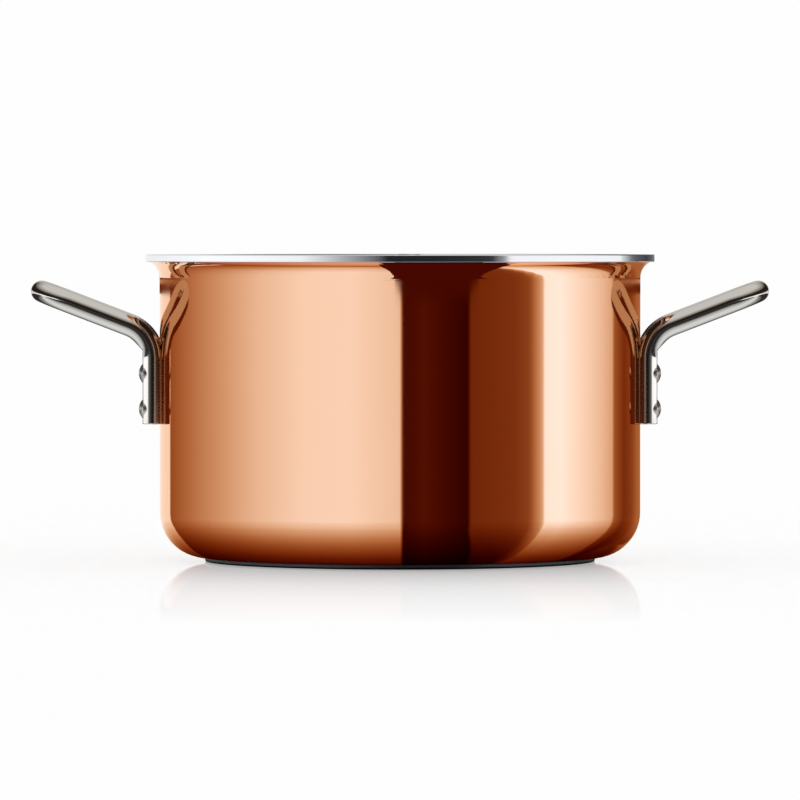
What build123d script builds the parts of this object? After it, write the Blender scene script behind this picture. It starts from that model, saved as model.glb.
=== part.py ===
# Two-handled copper cooking pot: three nested plies, a base disc, two bent rod handles and eight rivets.
# Millimetres, +Z up. The origin is the centre of the base, on the surface that the pot stands on.
# The handles lie along X, and the front of the pot faces -Y.

from build123d import *
from math import acos, asin, cos, degrees, radians, sin, sqrt, tan
import os

os.makedirs("parts", exist_ok=True)

# Pot body: sizes of the copper's outside, and the thickness of each ply inward from it
wall_radius = 113.0
total_height = 144.2
corner_radius = 21.0
copper_thickness = 0.8
core_thickness = 1.6
liner_thickness = 0.6

# Rim: the wall flares outward, and the liner closes the plies' edge with a solid band
rim_overhang = 6.6
rim_ledge = 1.6
rim_edge_radius = 0.4
flare_radius = 8.0

# Base disc, bonded under the flat of the copper
disc_thickness = 2.0
disc_setback = 0.3
disc_edge_radius = 0.8

# Handles: one round rod each, bent into a loop, with both legs pressed flat where the rivets sit
rod_diameter = 10.0
rod_spacing = 28.0
loop_projection = 60.5
arm_slope = 21.0
bend_radius = 16.5
leg_cope_depth = 0.71
leg_flat_width = 6.1
leg_foot_drop = 7.2
leg_foot_edge = 0.5
flat_top_rise = 10.9
knee_rise = 7.5
shoulder_slope = 45.0
seat_clearance = 0.02

# Rivets: a shank through leg and wall, a domed head outside and a head sunk flush with the liner
shank_diameter = 5.0
shank_clearance = 0.05
outer_head_diameter = 8.6
outer_head_height = 1.9
outer_head_edge = 0.25
sunk_head_diameter = 9.0
sunk_head_depth = 1.2
upper_rivet_drop = 55.7
rivet_pitch = 16.6

# Worked out from the sizes above: the wall's section
core_depth = copper_thickness + core_thickness
wall_thickness = core_depth + liner_thickness
inside_radius = wall_radius - wall_thickness
flat_radius = wall_radius - corner_radius
corner_height = disc_thickness + corner_radius
rim_radius = wall_radius + rim_overhang
flare_centre = wall_radius + flare_radius
lip_radius = flare_radius + wall_thickness
flare_height = total_height - sqrt(lip_radius**2 - (flare_centre - rim_radius) ** 2)
lip_angle = degrees(asin((total_height - flare_height) / lip_radius))
ply_end_angle = degrees(acos((flare_centre - rim_radius + rim_ledge) / flare_radius))
rim_underside = flare_height + flare_radius * sin(radians(ply_end_angle))

# Worked out from the sizes above: the heights along each leg, from the rim down to the rivets
upper_rivet_height = total_height - upper_rivet_drop
lower_rivet_height = upper_rivet_height - rivet_pitch
leg_foot_height = lower_rivet_height - leg_foot_drop
flat_top_height = upper_rivet_height + flat_top_rise
knee_height = flat_top_height + knee_rise

# Worked out from the sizes above: where the legs stand round the wall, and where the rod bends
rod_radius = rod_diameter / 2
half_spacing = rod_spacing / 2
loop_reach = wall_radius + loop_projection
leg_radial = wall_radius + rod_radius - leg_cope_depth
leg_flat_radial = leg_radial + sqrt(rod_radius**2 - (leg_flat_width / 2) ** 2)
leg_angle = degrees(asin(half_spacing / leg_radial))
leg_x = leg_radial * cos(radians(leg_angle))
arm_run = cos(radians(arm_slope))
arm_rise = sin(radians(arm_slope))
bend_reach = bend_radius * tan(radians((90 - arm_slope) / 2))
arm_length = (loop_reach - rod_radius - leg_x) / arm_run
loop_start = arm_length - half_spacing

# Worked out from the sizes above: each rivet's hole, and its sink, which starts inside the pot
sink_start = inside_radius - sunk_head_depth
sink_end = inside_radius + sunk_head_depth
sunk_head_start_radius = sunk_head_diameter - shank_diameter / 2
sink_radius = sunk_head_start_radius + shank_clearance
hole_radius = shank_diameter / 2 + shank_clearance


def flare_point(depth, angle):
    """Radius and height of a point on the flare, at a depth inward from the copper's outside."""
    reach = flare_radius + depth
    turn = radians(angle)
    return (flare_centre - reach * cos(turn), flare_height + reach * sin(turn))


def draw_ply_face(depth, end_angle):
    """One face of a ply in section: along the floor, round the corner, up the wall, round the flare."""
    floor_end = (flat_radius, disc_thickness + depth)
    corner_reach = (corner_radius - depth) * sin(radians(45))
    corner_middle = (flat_radius + corner_reach, corner_height - corner_reach)
    wall_foot = (wall_radius - depth, corner_height)
    wall_top = (wall_radius - depth, flare_height)
    Line((0, disc_thickness + depth), floor_end)
    ThreePointArc(floor_end, corner_middle, wall_foot)
    Line(wall_foot, wall_top)
    ThreePointArc(wall_top, flare_point(depth, end_angle / 2), flare_point(depth, end_angle))


def radial_plane(angle, height=0):
    """Upright plane through the pot's axis: its X runs outward and its Y runs up from the height."""
    turn = radians(angle)
    outward = (cos(turn), sin(turn), 0)
    across = (sin(turn), -cos(turn), 0)
    return Plane(origin=(0, 0, height), x_dir=outward, z_dir=across)


def arm_point(distance, side):
    """Point of the rod's axis at a distance from the knee along the arm, at the front or the back."""
    return (leg_x + distance * arm_run, side * half_spacing, knee_height + distance * arm_rise)


# Every rivet's name, the handle that it holds, its angle round the pot and its height
rivets = []
for end, end_angle, turn_sign in (("right", 0, 1), ("left", 180, -1)):
    for face, face_sign in (("front", -1), ("back", 1)):
        for level, level_height in (("lower", lower_rivet_height), ("upper", upper_rivet_height)):
            face_angle = end_angle + turn_sign * face_sign * leg_angle
            rivets.append((f"rivet_{end}_{face}_{level}", end, face_angle, level_height))


def drill_rivet_holes():
    """Cut every rivet's hole, and the sink for its inner head, in the piece that is being built."""
    outward = (Align.CENTER, Align.CENTER, Align.MIN)
    for name, handle, angle, height in rivets:
        upright = radial_plane(angle, height)
        through_axis = Plane(origin=upright.origin, z_dir=upright.x_dir)
        with Locations(through_axis):
            Cylinder(hole_radius, loop_reach, align=outward, mode=Mode.SUBTRACT)
        with Locations(through_axis.offset(sink_start)):
            Cone(sink_radius, hole_radius, 2 * sunk_head_depth, align=outward, mode=Mode.SUBTRACT)


# Outer ply: drawn copper, polished outside, from under the base to the rim band's underside
with BuildPart() as copper_shell:
    with BuildSketch(Plane.XZ):
        with BuildLine():
            draw_ply_face(0, ply_end_angle)
            draw_ply_face(copper_thickness, ply_end_angle)
            Line((0, disc_thickness), (0, disc_thickness + copper_thickness))
            Line(flare_point(0, ply_end_angle), flare_point(copper_thickness, ply_end_angle))
        make_face()
    revolve(axis=Axis.Z)
    drill_rivet_holes()
copper_shell.part.label = "copper_shell"
export_step(copper_shell.part, "parts/copper_shell.step")

# Middle ply: aluminium, sealed between the copper and the steel
with BuildPart() as aluminium_core:
    with BuildSketch(Plane.XZ):
        with BuildLine():
            draw_ply_face(copper_thickness, ply_end_angle)
            draw_ply_face(core_depth, ply_end_angle)
            Line((0, disc_thickness + copper_thickness), (0, disc_thickness + core_depth))
            Line(flare_point(copper_thickness, ply_end_angle), flare_point(core_depth, ply_end_angle))
        make_face()
    revolve(axis=Axis.Z)
    drill_rivet_holes()
aluminium_core.part.label = "aluminium_core"
export_step(aluminium_core.part, "parts/aluminium_core.step")

# Inner ply: stainless steel, whose flared lip ends in the solid band that closes the plies' edge
with BuildPart() as steel_liner:
    with BuildSketch(Plane.XZ):
        with BuildLine():
            draw_ply_face(core_depth, ply_end_angle)
            draw_ply_face(wall_thickness, lip_angle)
            Line((0, disc_thickness + core_depth), (0, disc_thickness + wall_thickness))
            Polyline(
                flare_point(core_depth, ply_end_angle),
                flare_point(0, ply_end_angle),
                (rim_radius, rim_underside),
                (rim_radius, total_height),
            )
        make_face()
        fillet(vertices().group_by(Axis.X)[-1], radius=rim_edge_radius)
    revolve(axis=Axis.Z)
    drill_rivet_holes()
steel_liner.part.label = "steel_liner"
export_step(steel_liner.part, "parts/steel_liner.step")

# Base disc: magnetic steel, so that the pot also works on an induction hob
with BuildPart() as base_disc:
    Cylinder(flat_radius - disc_setback, disc_thickness, align=(Align.CENTER, Align.CENTER, Align.MIN))
    fillet(base_disc.edges().group_by(Axis.Z)[0], radius=disc_edge_radius)
base_disc.part.label = "base_disc"
export_step(base_disc.part, "parts/base_disc.step")

# Right handle before drilling: the rod is swept round its loop, its legs are coped to the wall
# behind, and in front they are pressed flat up to a sloped shoulder
with BuildPart() as handle_blank:
    with BuildLine():
        for side in (-1, 1):
            leg_foot = (leg_x, side * half_spacing, leg_foot_height)
            bend_start = (leg_x, side * half_spacing, knee_height - bend_reach)
            Line(leg_foot, bend_start)
            TangentArc(bend_start, arm_point(bend_reach, side), tangent=(0, 0, 1))
            Line(arm_point(bend_reach, side), arm_point(loop_start, side))
        ThreePointArc(arm_point(loop_start, -1), arm_point(arm_length, 0), arm_point(loop_start, 1))
    with BuildSketch(Plane((leg_x, -half_spacing, leg_foot_height))):
        Circle(rod_radius)
    sweep()
    Cylinder(wall_radius + seat_clearance, 2 * total_height, mode=Mode.SUBTRACT)
    for press_angle in (-leg_angle, leg_angle):
        with BuildSketch(radial_plane(press_angle)):
            with BuildLine():
                clear_radial = leg_flat_radial + rod_radius
                clear_height = flat_top_height + rod_radius * tan(radians(shoulder_slope))
                Polyline(
                    (leg_flat_radial, leg_foot_height - rod_radius),
                    (leg_flat_radial, flat_top_height),
                    (clear_radial, clear_height),
                    (clear_radial, leg_foot_height - rod_radius),
                    close=True,
                )
            make_face()
        extrude(amount=rod_radius, both=True, mode=Mode.SUBTRACT)
    fillet(handle_blank.edges().group_by(Axis.Z)[0], radius=leg_foot_edge)

blanks = {"right": handle_blank.part, "left": mirror(handle_blank.part, about=Plane.YZ)}

# Handles: the bent and pressed rods, drilled through their legs for the rivets
with BuildPart() as right_handle:
    add(blanks["right"])
    drill_rivet_holes()
right_handle.part.label = "right_handle"
export_step(right_handle.part, "parts/right_handle.step")

with BuildPart() as left_handle:
    add(blanks["left"])
    drill_rivet_holes()
left_handle.part.label = "left_handle"
export_step(left_handle.part, "parts/left_handle.step")

# Rivets: the outer head wraps over the pressed rod, and the sunk head follows the liner's curve
for rivet_name, rivet_handle, rivet_angle, rivet_height in rivets:
    section_plane = radial_plane(rivet_angle, rivet_height)
    rivet_axis = Axis(section_plane.origin, section_plane.x_dir)
    with BuildPart() as rivet:
        with BuildSketch(section_plane):
            with BuildLine():
                outer_crown = (leg_flat_radial + outer_head_height, 0)
                outer_rim = (leg_flat_radial + outer_head_edge, outer_head_diameter / 2)
                TangentArc(outer_crown, outer_rim, tangent=(0, 1))
                Polyline(outer_rim, (leg_radial, outer_head_diameter / 2), (leg_radial, 0), outer_crown)
            make_face()
        revolve(axis=rivet_axis)
        add(blanks[rivet_handle], mode=Mode.SUBTRACT)
        with BuildSketch(section_plane):
            with BuildLine():
                shank_end = leg_flat_radial + outer_head_edge
                Polyline(
                    (sink_start, 0),
                    (sink_start, sunk_head_start_radius),
                    (sink_end, shank_diameter / 2),
                    (shank_end, shank_diameter / 2),
                    (shank_end, 0),
                    close=True,
                )
            make_face()
        revolve(axis=rivet_axis)
        Cylinder(inside_radius, 2 * total_height, mode=Mode.SUBTRACT)
    rivet.part.label = rivet_name
    export_step(rivet.part, f"parts/{rivet_name}.step")
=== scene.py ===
import math

import bmesh
import bpy
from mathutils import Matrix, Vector

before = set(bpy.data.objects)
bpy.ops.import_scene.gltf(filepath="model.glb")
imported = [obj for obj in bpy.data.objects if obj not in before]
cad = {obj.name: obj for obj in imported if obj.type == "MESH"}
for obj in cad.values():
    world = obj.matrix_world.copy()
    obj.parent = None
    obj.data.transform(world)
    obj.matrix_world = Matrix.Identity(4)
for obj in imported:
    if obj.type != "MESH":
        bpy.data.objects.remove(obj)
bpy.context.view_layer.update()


# Camera
# A long lens far in front of the pot, a little above its rim, so that the rim is almost a line.

camera_place = Vector((0, -3.39, 0.153))
camera_target = Vector((0, 0, 0.0757))
camera_lens = 324.4
camera_sensor = 36

camera_data = bpy.data.cameras.new("camera")
camera_data.lens = camera_lens
camera_data.sensor_width = camera_sensor
camera = bpy.data.objects.new("camera", camera_data)
camera.location = camera_place
camera.rotation_euler = (camera_target - camera_place).to_track_quat("-Z", "Y").to_euler()
bpy.context.scene.collection.objects.link(camera)
bpy.context.scene.camera = camera
bpy.context.scene.view_settings.view_transform = "Standard"


# Floor and daylight
# A sheet of white acrylic under an even white sky. Its gloss shows a faint image of the pot, and
# only near the foot, because further off the sheet is matt with dust and fine wear.

millimetre = 0.001
floor_colour = "#fefefe"
sky_colour = "#fefefe"
floor_rings = (200, 2, 0.5, 0)
lit_from_below = 0.69
shadow_share = 0.31
mirror_share = [
    (0.095, 0.46), (0.133, 0.37), (0.18, 0.29), (0.25, 0.19), (0.34, 0.12), (0.46, 0.06), (0.55, 0),
]
mirror_roughness = (0.02, 0.04)
dust_size = 17
dust_detail = 4


def linear(colour):
    """Linear red, green, blue and alpha of an sRGB hex colour."""
    parts = [int(colour[place:place + 2], 16) / 255 for place in (1, 3, 5)]
    return (*(part / 12.92 if part <= 0.04045 else ((part + 0.055) / 1.055) ** 2.4 for part in parts), 1)


def add_node(tree, kind, inputs=(), output=0, **settings):
    """Adds a node with its settings and links, and gives one of its outputs."""
    node = tree.nodes.new("ShaderNode" + kind)
    for name, value in settings.items():
        setattr(node, name, value)
    for socket, value in (inputs if isinstance(inputs, dict) else dict(enumerate(inputs))).items():
        if isinstance(value, bpy.types.NodeSocket):
            tree.links.new(value, node.inputs[socket])
        else:
            node.inputs[socket].default_value = value
    return node.outputs[output] if len(node.outputs) else node


def new_material(name):
    """An empty node material, its tree and the place on the object."""
    material = bpy.data.materials.new(name)
    material.use_nodes = True
    material.node_tree.nodes.clear()
    return material, material.node_tree, add_node(material.node_tree, "TexCoord", output="Object")


def level_along(tree, value, points):
    """A level that follows (value, level) points, the first value being 0 or more."""
    reach = points[-1][0]
    highest = max(level for _, level in points)
    share = add_node(tree, "Math", (value, reach), operation="DIVIDE")
    ramp = add_node(tree, "ValToRGB", (share,))
    stops = ramp.node.color_ramp.elements
    stops.remove(stops[1])
    for count, (spot, level) in enumerate(points):
        stop = stops.new(spot / reach) if count else stops[0]
        stop.position = spot / reach
        stop.color = (*[level / highest] * 3, 1)
    return add_node(tree, "Math", (ramp, highest), operation="MULTIPLY")


def turned(name, profile, steps, material):
    """An object turned round the pot's axis from (radius, height) points in metres."""
    build = bmesh.new()
    rings = []
    for radius, height in profile:
        turns = [2 * math.pi * count / steps for count in range(steps)] if radius else [0]
        spots = [(radius * math.cos(turn), radius * math.sin(turn), height) for turn in turns]
        rings.append([build.verts.new(spot) for spot in spots])
    for lower, upper in zip(rings, rings[1:]):
        for count in range(steps):
            around = ((lower, 0), (lower, 1), (upper, 1), (upper, 0))
            corners = [ring[(count + more) % len(ring)] for ring, more in around]
            build.faces.new(list(dict.fromkeys(corners)))
    for face in build.faces:
        face.smooth = True
    return stand_up(name, build, material)


def stand_up(name, build, material):
    """Makes an object of the faces that were built."""
    data = bpy.data.meshes.new(name)
    build.to_mesh(data)
    build.free()
    data.materials.append(material)
    piece = bpy.data.objects.new(name, data)
    bpy.context.scene.collection.objects.link(piece)
    return piece


def show_in_gloss(card, pieces):
    """Lets only the gloss of some pieces see a card of the studio."""
    card.active_material.cycles.emission_sampling = "NONE"
    card.visible_camera = card.visible_diffuse = card.visible_shadow = False
    card.visible_transmission = card.visible_volume_scatter = False
    lit = bpy.data.collections.new(card.name + "_pieces")
    for piece in pieces:
        lit.objects.link(piece)
    card.light_linking.receiver_collection = lit


dome_radius = 1.45
dome_gap = 0.03
dome_drop = 0.0002
dome_steps = 96
dome_angle_step = 5
dome_floor_rings = (0, 0.06, 0.5)
sky_layer = 12


def card_dome(name, layer, material, pieces, centre=0, side=1):
    """A dome and its floor that some pieces mirror. Later layers stand further out."""
    reach = dome_radius + layer * dome_gap
    depth = -layer * dome_drop
    arc = [math.radians(angle) for angle in range(0, 90, dome_angle_step)]
    bow = [(reach * math.cos(angle), depth + reach * math.sin(angle)) for angle in arc]
    base = [(radius, depth) for radius in dome_floor_rings]
    dome = turned(name, [*base, *bow, (0, depth + reach)], dome_steps, material)
    dome.location.x = centre
    dome.scale.x = side
    show_in_gloss(dome, pieces)


acrylic, tree, place = new_material("white_acrylic_sheet")
distance = add_node(tree, "VectorMath", (place,), "Value", operation="LENGTH")
dust = add_node(tree, "TexNoise", {
    "Vector": place, "Scale": 1 / (dust_size * millimetre), "Detail": dust_detail,
}, "Fac")
red, green, blue, _ = linear(floor_colour)
matt = add_node(tree, "BsdfDiffuse", {
    "Color": (shadow_share * red, shadow_share * green, shadow_share * blue, 1),
})
glow = add_node(tree, "Emission", {"Color": linear(floor_colour), "Strength": lit_from_below})
gloss = add_node(tree, "BsdfGlossy", {
    "Color": linear("#ffffff"),
    "Roughness": add_node(tree, "MapRange", (dust, 0, 1, *mirror_roughness)),
})
sheet = add_node(tree, "MixShader", (
    level_along(tree, distance, mirror_share), add_node(tree, "AddShader", (matt, glow)), gloss,
))
add_node(tree, "OutputMaterial", {"Surface": sheet})
acrylic.cycles.emission_sampling = "NONE"
floor = turned("floor", [(radius, 0) for radius in floor_rings], dome_steps, acrylic)
floor.visible_glossy = False

sky_light, tree, _ = new_material("sky_over_the_floor")
add_node(tree, "OutputMaterial", {"Surface": add_node(tree, "Emission", {"Color": linear(sky_colour)})})
card_dome("sky_over_the_floor", sky_layer, sky_light, [floor])

world = bpy.data.worlds.new("daylight")
bpy.context.scene.world = world
world.use_nodes = True
tree = world.node_tree
tree.nodes.clear()
sky = add_node(tree, "Background", {"Color": linear(sky_colour)})
add_node(tree, "OutputWorld", {"Surface": sky})


# Copper shell
# The outer sheet: tough-pitch copper 0.8 mm thick, spun to a straight wall, a round foot corner
# and a flared top. It is buffed to a mirror, so what the eye gets is the studio's cards in copper:
# bearings run from straight behind the pot (0) past its left (90), the camera (180) and its right.

pot_radius = 113
copper_colour = "#faceb1"
copper_film = "#f8caaa"
film_size = 70
copper_edge_tint = "#ffefde"
film_detail = 3
copper_roughness = (0.045, 0.055)
copper_cards = [
    (0, 35.6, (1.01, 1.01)),
    (36.4, 180, (0.31, 0.48, 0.67, 0.87, 1.0, 1.02, 0.91)),
    (180.4, 213, (0.05, 0.087, 0.055, 0.032)),
    (213.8, 251.6, (0.175, 0.185, 0.20, 0.215, 0.28, 0.72)),
    (252.8, 303, (1.15, 1.17, 1.07, 0.985, 0.88, 0.74)),
    (304, 350, (0.36, 0.19, 0.265, 0.40, 0.40)),
    (351, 360, (0.40, 1.01)),
]
# Painted shade: levels of the cards' floor by distance from the axis, darker near the foot
copper_foot_painted_shade = [
    (0.091, 0.04), (0.101, 0.13), (0.110, 0.29), (0.121, 0.49), (0.135, 0.67), (0.166, 0.85), (0.25, 1.0),
]
copper_foot_fade = (0, 0.02)
foot_widening = [
    (-0.09, 1.0), (0.02, 0.86), (0.44, 0.86), (0.49, 1.25), (0.70, 1.25), (0.84, 1.12), (math.pi, 1.12),
]
foot_softness = 0.3
mirror_rounds = 3
overhead = 0.80
overhead_fade = (0.8, 1.3)
green_power = 1.95
blue_power = 2.95
# Painted shade: levels, by bearing, of copper seen a second time
second_mirror_painted_shade = [
    (0, 0.035), (0.22, 0.02), (0.29, 0.44), (0.43, 0.44), (0.50, 0.02), (0.62, 0.05),
    (0.9, 0.04), (1.2, 0.012), (1.6, 0.02), (2.2, 0.05), (2.7, 0.02), (3.15, 0.03),
]
second_mirror_power = 1.1
past_first_mirror = 1.5
flag_foot = 113.7
flag_top = 125.4
flag_left = (0.43, -1.24)
flag_right = (16.4, 18.9)
flag_level = 0.06
flag_softness = 0.003
flag_fade = 1
shelf_bearing = 66
shelf_fade = 1
shelf_foot = (0.1140, 0.1145)
shelf_top = (0.22, 0.16)
shelf_levels = [
    (0.1145, 0.13), (0.1205, 0.12), (0.1216, 0.55), (0.1236, 0.55), (0.1244, 0.02), (0.1265, 0.02),
    (0.128, 0.2), (0.2, 0.2),
]
copper_layer = 1


def bearings(tree, place):
    """Height, distance from the axis, angle from the camera to the right, and place front to back."""
    x, y, height = (add_node(tree, "SeparateXYZ", (place,), axis) for axis in "XYZ")
    away = add_node(tree, "VectorMath", (add_node(tree, "CombineXYZ", (x, y)),), "Value", operation="LENGTH")
    front = add_node(tree, "Math", (y, -1), operation="MULTIPLY")
    turn = add_node(tree, "Math", (x, front), operation="ARCTAN2")
    return height, away, turn, y


def card_level(tree, angle, cards):
    """Level of the cards that the metal mirrors where its normal is at an angle from the camera."""
    points = []
    for start, end, levels in cards:
        last = len(levels) - 1
        points += [(start + (end - start) * count / last, level) for count, level in enumerate(levels)]
    # A mirror sends the view off by twice the angle of its normal, and the camera is at bearing 180
    bearing = add_node(tree, "Math", (angle, 360 / math.pi, 180), operation="MULTIPLY_ADD")
    return level_along(tree, bearing, points)


def card_light(tree, level, green, blue):
    """Light of the cards, which lets what is behind them through. Dim cards are browner."""
    colour = add_node(tree, "CombineColor", (
        level, add_node(tree, "Math", (level, green), operation="POWER"),
        add_node(tree, "Math", (level, blue), operation="POWER"),
    ))
    glow = add_node(tree, "Emission", {"Color": colour})
    light = add_node(tree, "AddShader", (glow, add_node(tree, "BsdfTransparent")))
    add_node(tree, "OutputMaterial", {"Surface": light})


cards, tree, place = new_material("cards_for_copper")
height, away, turn, _ = bearings(tree, place)
full_turn = add_node(tree, "Math", (turn, math.pi), operation="ADD")
widest = level_along(tree, full_turn, [(math.pi + angle, share) for angle, share in foot_widening])
near = add_node(tree, "Math", (pot_radius * millimetre, away), operation="DIVIDE")
near = add_node(tree, "Math", (near, widest, foot_softness), operation="SMOOTH_MIN")
spread = add_node(tree, "Math", (2, near), operation="SUBTRACT")
normal = add_node(tree, "Math", (turn, spread), operation="DIVIDE")
for _ in range(mirror_rounds):
    sine = add_node(tree, "Math", (normal,), operation="SINE")
    offset = add_node(tree, "Math", (near, sine), operation="MULTIPLY")
    offset = add_node(tree, "Math", (offset,), operation="ARCSINE")
    twice_normal = add_node(tree, "Math", (turn, offset), operation="ADD")
    normal = add_node(tree, "Math", (twice_normal, 0.5), operation="MULTIPLY")
level = card_level(tree, normal, copper_cards)

# Just under the flare the dark card above the camera is wider, and dark shelves stand at both sides
wider = add_node(tree, "MapRange", (height, flag_foot * millimetre, flag_top * millimetre))
left_edge = add_node(tree, "MapRange", (wider, 0, 1, *map(math.radians, flag_left)))
right_edge = add_node(tree, "MapRange", (wider, 0, 1, *map(math.radians, flag_right)))
past_left = add_node(tree, "Math", (normal, left_edge), operation="SUBTRACT")
short_of_right = add_node(tree, "Math", (right_edge, normal), operation="SUBTRACT")
within = add_node(tree, "Math", (past_left, short_of_right), operation="MINIMUM")
dark = add_node(tree, "Math", (
    add_node(tree, "MapRange", (within, -flag_softness, flag_softness)),
    add_node(tree, "MapRange", (height, (flag_foot - flag_fade) * millimetre, flag_foot * millimetre)),
), operation="MULTIPLY")
level = add_node(tree, "Mix", {"Factor": dark, "A": level, "B": flag_level})
aside = add_node(tree, "Math", (normal,), operation="ABSOLUTE")
shelf_edge = (math.radians(shelf_bearing - shelf_fade), math.radians(shelf_bearing))
shelf = add_node(tree, "MapRange", (aside, *shelf_edge))
for ends in (shelf_foot, shelf_top):
    fade = add_node(tree, "MapRange", (height, *ends))
    shelf = add_node(tree, "Math", (shelf, fade), operation="MULTIPLY")
level = add_node(tree, "Mix", {"Factor": shelf, "A": level, "B": level_along(tree, height, shelf_levels)})

# Painted shade: the cards' floor darkens towards the pot's foot, in place of the pot's shadow on the floor,
# and an even light closes the dome overhead
above = add_node(tree, "MapRange", (height, *copper_foot_fade))
shade = add_node(tree, "Mix", {"Factor": above, "A": level_along(tree, away, copper_foot_painted_shade), "B": 1})
level = add_node(tree, "Math", (level, shade), operation="MULTIPLY")
high = add_node(tree, "MapRange", (height, *overhead_fade))
level = add_node(tree, "Mix", {"Factor": high, "A": level, "B": overhead})

# Painted shade: copper that is seen in the handles, or in itself, gets levels of its own, mostly far darker,
# in place of the shade between the parts
mirrors = add_node(tree, "LightPath", output="Glossy Depth")
twice = add_node(tree, "Math", (mirrors, past_first_mirror), operation="GREATER_THAN")
twice = add_node(tree, "Math", (twice, above), operation="MULTIPLY")
either_way = add_node(tree, "Math", (turn,), operation="ABSOLUTE")
between = level_along(tree, either_way, second_mirror_painted_shade)
level = add_node(tree, "Mix", {"Factor": twice, "A": level, "B": between})
green, blue = (
    add_node(tree, "Mix", {"Factor": twice, "A": power, "B": second_mirror_power})
    for power in (green_power, blue_power)
)
card_light(tree, level, green, blue)
card_dome("cards_for_copper", copper_layer, cards, [cad["copper_shell"]])

# Painted reflection: the flare shows the same dark card from below, by way of a small card that glows dark
# copper brown close under it and is seen only in the copper
flare_card_colour = "#470e02"
flare_card_height = 132.6
flare_card_left = (
    (-10.3, -113.3), (-9.7, -114.3), (-8.3, -115.6), (-6.4, -116.4), (-5.0, -117.0),
    (-4.1, -117.7), (-3.1, -118.5), (-2.7, -121.1), (-2.8, -131.4),
)
flare_card_right = (
    (53.1, -100.8), (52.0, -102.4), (48.8, -105.1), (45.8, -107.3), (43.6, -108.8),
    (42.0, -110.0), (40.6, -111.5), (40.8, -114.3), (48.1, -125.6),
)

material, tree, _ = new_material("dark_card_under_flare")
glow = add_node(tree, "Emission", {"Color": linear(flare_card_colour)})
add_node(tree, "OutputMaterial", {"Surface": glow})
build = bmesh.new()
pairs = [[build.verts.new(Vector((*spot, flare_card_height)) * millimetre) for spot in pair]
         for pair in zip(flare_card_left, flare_card_right)]
for (left, right), (next_left, next_right) in zip(pairs, pairs[1:]):
    build.faces.new((left, right, next_right, next_left))
show_in_gloss(stand_up("dark_card_under_flare", build, material), [cad["copper_shell"]])

# Buffing leaves fine lines round the wall. Real ones are a few hundredths of a millimetre wide, and
# these are drawn about thirty times coarser, so that they show as a faint drag in the mirror.
buff_line_length = 50
buff_line_width = 1.2
buff_line_depth = 0.001
buff_line_strength = 0.4
line_detail = 3
noise_range = (0.3, 0.7)


def round_lines(tree, place, length, width, side):
    """Fine lines round the pot, with sizes in millimetres. The side is 1 on faces that look up, else -1."""
    x, y, z = (add_node(tree, "SeparateXYZ", (place,), axis) for axis in "XYZ")
    away = add_node(tree, "VectorMath", (add_node(tree, "CombineXYZ", (x, y)),), "Value", operation="LENGTH")
    along = add_node(tree, "Math", (away, side, z), operation="MULTIPLY_ADD")
    lines = add_node(tree, "CombineXYZ", (
        add_node(tree, "Math", (x, length * millimetre), operation="DIVIDE"),
        add_node(tree, "Math", (y, length * millimetre), operation="DIVIDE"),
        add_node(tree, "Math", (along, width * millimetre), operation="DIVIDE"),
    ))
    return add_node(tree, "TexNoise", {"Vector": lines, "Scale": 1, "Detail": line_detail}, "Fac")


def dress(names, material):
    """Gives CAD nodes their material."""
    for name in names:
        cad[name].data.materials.clear()
        cad[name].data.materials.append(material)


buffed_copper, tree, place = new_material("buffed_copper")
buff_lines = round_lines(tree, place, buff_line_length, buff_line_width, -1)
film = add_node(tree, "TexNoise", {
    "Vector": place, "Scale": 1 / (film_size * millimetre), "Detail": film_detail,
}, "Fac")
colour = add_node(tree, "Mix", {
    "Factor": film, "A": linear(copper_colour), "B": linear(copper_film),
}, "Result", data_type="RGBA")
metal = add_node(tree, "BsdfPrincipled", {
    "Base Color": colour,
    "Specular Tint": linear(copper_edge_tint),
    "Metallic": 1,
    "Roughness": add_node(tree, "MapRange", (buff_lines, *noise_range, *copper_roughness)),
    "Normal": add_node(tree, "Bump", {
        "Height": buff_lines, "Strength": buff_line_strength, "Distance": buff_line_depth * millimetre,
    }),
})
add_node(tree, "OutputMaterial", {"Surface": metal})
dress(["copper_shell"], buffed_copper)


# Aluminium core
# The middle sheet: commercially pure aluminium 1.6 mm thick, which carries the heat up the wall.
# It keeps the mill's rolled finish, a soft pale grey. The liner's band hides it at the rim.
# Real mill lines are about a tenth of the width drawn.

core_colour = "#dfe1e4"
mill_line_length = 30
mill_line_width = 0.8
mill_line_depth = 0.01
mill_line_strength = 0.5
core_roughness = (0.32, 0.45)

rolled_aluminium, tree, place = new_material("rolled_aluminium")
mill_lines = round_lines(tree, place, mill_line_length, mill_line_width, -1)
metal = add_node(tree, "BsdfPrincipled", {
    "Base Color": linear(core_colour),
    "Metallic": 1,
    "Roughness": add_node(tree, "MapRange", (mill_lines, *noise_range, *core_roughness)),
    "Normal": add_node(tree, "Bump", {
        "Height": mill_lines, "Strength": mill_line_strength, "Distance": mill_line_depth * millimetre,
    }),
})
add_node(tree, "OutputMaterial", {"Surface": metal})
dress(["aluminium_core"], rolled_aluminium)


# Steel liner
# The inner sheet: 18/10 stainless steel 0.6 mm thick. Inside it is satin, ground round the axis
# with a fine belt, which draws the light into soft streaks. Its band at the rim is polished
# bright and mirrors the cards. Real grinding lines are about a tenth of those drawn.

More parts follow.
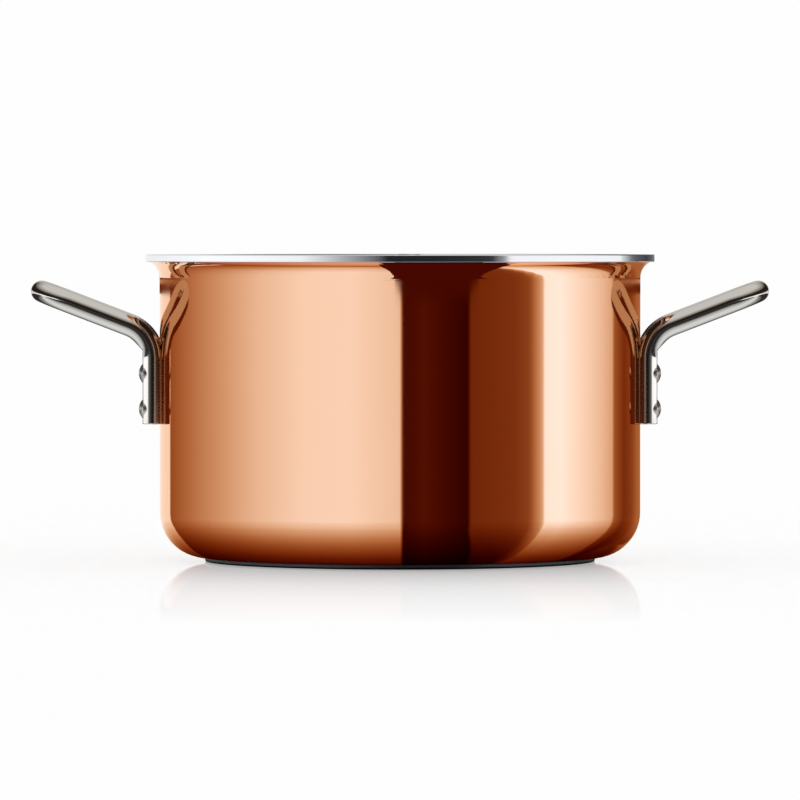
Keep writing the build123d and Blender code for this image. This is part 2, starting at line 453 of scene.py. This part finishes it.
liner_colour = "#e3e5e9"
polish_height = 133.8
polish_fade = 1
inside_roughness = (0.24, 0.36)
rim_roughness = (0.06, 0.09)
grind_line_length = 60
grind_line_width = 1.0
grind_line_depth = 0.01
inside_line_strength = 0.6
rim_line_strength = 0.1
rim_cards = [
    (0, 78, (0.92, 1.08, 1.22)),
    (79, 136, (1.25, 1.22, 1.12)),
    (137, 172, (1.05, 0.52, 0.10)),
    (174, 222, (0.02, 0.02, 0.04)),
    (228, 230, (0.40, 1.0)),
    (231, 299, (1.16, 1.18, 1.12)),
    (301, 310, (0.80, 0.20)),
    (316, 360, (0.12, 0.06, 0.16, 0.30)),
]
rim_dimming = (0.16, 0.3, 1, 0.8)
rim_overhead = 0.78
rim_overhead_fade = (0.9, 1.4)
# Painted shade: levels of the rim cards' floor by distance from the axis, darker near the foot
steel_foot_painted_shade = [(0.080, 0.01), (0.095, 0.014), (0.11, 0.10), (0.15, 0.42), (0.3, 0.55)]
card_foot = (0.01, 0)
rim_green_power = 0.99
rim_blue_power = 0.96
rim_layer = 2

cards, tree, place = new_material("cards_for_rim")
height, away, turn, _ = bearings(tree, place)
near = add_node(tree, "Math", (pot_radius * millimetre, away), operation="DIVIDE")
spread = add_node(tree, "Math", (2, near), operation="SUBTRACT")
normal = add_node(tree, "Math", (turn, spread), operation="DIVIDE")
level = card_level(tree, normal, rim_cards)
dimming = add_node(tree, "MapRange", (height, *rim_dimming))
level = add_node(tree, "Math", (level, dimming), operation="MULTIPLY")
high = add_node(tree, "MapRange", (height, *rim_overhead_fade))
level = add_node(tree, "Mix", {"Factor": high, "A": level, "B": rim_overhead})
# Painted shade: the cards' floor darkens towards the pot's foot, in place of the pot's shadow on the floor
bottom = add_node(tree, "MapRange", (height, *card_foot))
level = add_node(tree, "Mix", {"Factor": bottom, "A": level, "B": level_along(tree, away, steel_foot_painted_shade)})
card_light(tree, level, rim_green_power, rim_blue_power)
steel_pieces = [cad[name] for name in ("steel_liner", "aluminium_core", "base_disc")]
card_dome("cards_for_rim", rim_layer, cards, steel_pieces)

ground_steel, tree, place = new_material("ground_and_polished_stainless_steel")
grind_lines = round_lines(tree, place, grind_line_length, grind_line_width, 1)
height = add_node(tree, "SeparateXYZ", (place,), "Z")
polish_edge = ((polish_height - polish_fade) * millimetre, polish_height * millimetre)
polish = add_node(tree, "MapRange", (height, *polish_edge))
metal = add_node(tree, "BsdfPrincipled", {
    "Base Color": linear(liner_colour),
    "Metallic": 1,
    "Roughness": add_node(tree, "Mix", {
        "Factor": polish,
        "A": add_node(tree, "MapRange", (grind_lines, *noise_range, *inside_roughness)),
        "B": add_node(tree, "MapRange", (grind_lines, *noise_range, *rim_roughness)),
    }),
    "Normal": add_node(tree, "Bump", {
        "Height": grind_lines,
        "Strength": add_node(tree, "Mix", {
            "Factor": polish, "A": inside_line_strength, "B": rim_line_strength,
        }),
        "Distance": grind_line_depth * millimetre,
    }),
})
add_node(tree, "OutputMaterial", {"Surface": metal})
dress(["steel_liner"], ground_steel)


# Base disc
# A disc of 430 stainless steel 2 mm thick, bonded under the copper so that the pot works on an
# induction hob. It is turned, not polished. Its colour is painted darker than the steel's own, as
# painted shade, and its cards darken near the foot, so it is almost black.
# Real turning lines are about a third of the width drawn.

# Painted shade: a colour far darker than 430 steel's own
disc_colour_with_painted_shade = "#5a595b"
turning_line_length = 80
turning_line_width = 0.6
turning_line_depth = 0.02
turning_line_strength = 0.8
disc_roughness = (0.26, 0.36)

turned_steel, tree, place = new_material("turned_430_steel")
turning_lines = round_lines(tree, place, turning_line_length, turning_line_width, 1)
metal = add_node(tree, "BsdfPrincipled", {
    "Base Color": linear(disc_colour_with_painted_shade),
    "Metallic": 1,
    "Roughness": add_node(tree, "MapRange", (turning_lines, *noise_range, *disc_roughness)),
    "Normal": add_node(tree, "Bump", {
        "Height": turning_lines,
        "Strength": turning_line_strength,
        "Distance": turning_line_depth * millimetre,
    }),
})
add_node(tree, "OutputMaterial", {"Surface": metal})
dress(["base_disc"], turned_steel)


# Handles
# Each handle is one 10 mm rod of 18/10 stainless steel, bent to a loop, its legs pressed flat
# and hollowed to the wall. A soft wheel buffs it bright, so it shows hard black and white bands.
# Its cards stand round each handle and mirror each other, with the left handle's bearings here.
# The buffing marks are drawn several times coarser than real ones.

rod_colour = "#e6e4df"
handle_centre = 130
wheel_mark_size = 3
wheel_mark_depth = 0.002
wheel_mark_strength = 0.03
mark_detail = 3
rod_roughness = (0.075, 0.085)
handle_cards = [
    (0, 20, (0.50, 0.50)),
    (24, 76, (0.80, 0.95)),
    (80, 139, (1.29, 1.29)),
    (142, 147, (1.10, 0.62)),
    (150, 165, (0.34, 0.16, 0.10)),
    (168, 182, (0.075, 0.03)),
    (184, 207, (0.01, 0.01)),
    (209, 216, (0.36, 0.36)),
    (222, 336, (0.5, 0.95, 0.5)),
    (340, 360, (0.50, 0.50)),
]
dark_band_heights = (0.14, 0.23)
dark_band_ends = ((2.2, 1.6), (-3.0, -2.75))
dark_band_level = 0.02
rod_overhead = 0.69
rod_overhead_fade = (0.70, 1.30)
table_level = [(0, 0.03), (0.67, 0.03), (0.95, 0.84), (1.0, 0.8), (1.08, 0.3), (1.2, 0.03), (2.0, 0.03)]
table_start = 1
# Painted shade and tint: levels by height for a handle seen in a second mirror
copper_heights = (0.11, 0.2)
copper_painted_levels = (0.12, 0.62)
warm_powers = (1.08, 1.16)
first_handle_layer = 3

for layer, (end, side) in enumerate((("left", 1), ("right", -1)), first_handle_layer):
    cards, tree, place = new_material(f"cards_for_{end}_handle")
    height, _, turn, depth = bearings(tree, place)
    half_turn = add_node(tree, "Math", (turn, 0.5), operation="MULTIPLY")
    level = card_level(tree, half_turn, handle_cards)
    raised = add_node(tree, "MapRange", (height, *dark_band_heights))
    dark = raised
    for ends in dark_band_ends:
        fade = add_node(tree, "MapRange", (turn, *ends))
        dark = add_node(tree, "Math", (dark, fade), operation="MULTIPLY")
    level = add_node(tree, "Mix", {"Factor": dark, "A": level, "B": dark_band_level})
    high = add_node(tree, "MapRange", (height, *rod_overhead_fade))
    level = add_node(tree, "Mix", {"Factor": high, "A": level, "B": rod_overhead})
    from_front = add_node(tree, "Math", (depth, table_start), operation="ADD")
    bottom = add_node(tree, "MapRange", (height, *card_foot))
    table = level_along(tree, from_front, table_level)
    level = add_node(tree, "Mix", {"Factor": bottom, "A": level, "B": table})
    # Painted shade and tint: a handle seen in a second mirror, mostly the copper, gets darker levels by
    # height and the copper's browner powers
    mirrors = add_node(tree, "LightPath", output="Glossy Depth")
    twice = add_node(tree, "Math", (mirrors, past_first_mirror), operation="GREATER_THAN")
    copper_side = add_node(tree, "MapRange", (height, *copper_heights, *copper_painted_levels))
    level = add_node(tree, "Mix", {"Factor": twice, "A": level, "B": copper_side})
    powers = []
    for warm, copper in zip(warm_powers, (green_power, blue_power)):
        plain = add_node(tree, "Mix", {"Factor": raised, "A": 1, "B": warm})
        powers.append(add_node(tree, "Mix", {"Factor": twice, "A": plain, "B": copper}))
    card_light(tree, level, *powers)
    pieces = [piece for name, piece in cad.items() if name.startswith((f"{end}_handle", f"rivet_{end}"))]
    card_dome(f"cards_for_{end}_handle", layer, cards, pieces, -side * handle_centre * millimetre, side)

buffed_steel, tree, place = new_material("buffed_stainless_rod")
wheel_marks = add_node(tree, "TexNoise", {
    "Vector": place, "Scale": 1 / (wheel_mark_size * millimetre), "Detail": mark_detail,
}, "Fac")
metal = add_node(tree, "BsdfPrincipled", {
    "Base Color": linear(rod_colour),
    "Metallic": 1,
    "Roughness": add_node(tree, "MapRange", (wheel_marks, *noise_range, *rod_roughness)),
    "Normal": add_node(tree, "Bump", {
        "Height": wheel_marks, "Strength": wheel_mark_strength, "Distance": wheel_mark_depth * millimetre,
    }),
})
add_node(tree, "OutputMaterial", {"Surface": metal})
dress(["left_handle", "right_handle"], buffed_steel)


# Rivets
# Eight stainless rivets hold the handles. Each outer head is low and domed, and each inner head
# is sunk flush with the liner and ground with it. Tumbling leaves them a soft, finely dented grey.
# The dents are drawn about four times coarser than real ones.

rivet_colour = "#dcdad8"
dent_size = 0.8
dent_depth = 0.01
dent_strength = 0.3
rivet_roughness = (0.32, 0.38)

tumbled_steel, tree, place = new_material("tumbled_stainless_rivet")
dents = add_node(tree, "TexNoise", {
    "Vector": place, "Scale": 1 / (dent_size * millimetre), "Detail": mark_detail,
}, "Fac")
metal = add_node(tree, "BsdfPrincipled", {
    "Base Color": linear(rivet_colour),
    "Metallic": 1,
    "Roughness": add_node(tree, "MapRange", (dents, *noise_range, *rivet_roughness)),
    "Normal": add_node(tree, "Bump", {
        "Height": dents, "Strength": dent_strength, "Distance": dent_depth * millimetre,
    }),
})
add_node(tree, "OutputMaterial", {"Surface": metal})
dress([name for name in cad if name.startswith("rivet")], tumbled_steel)
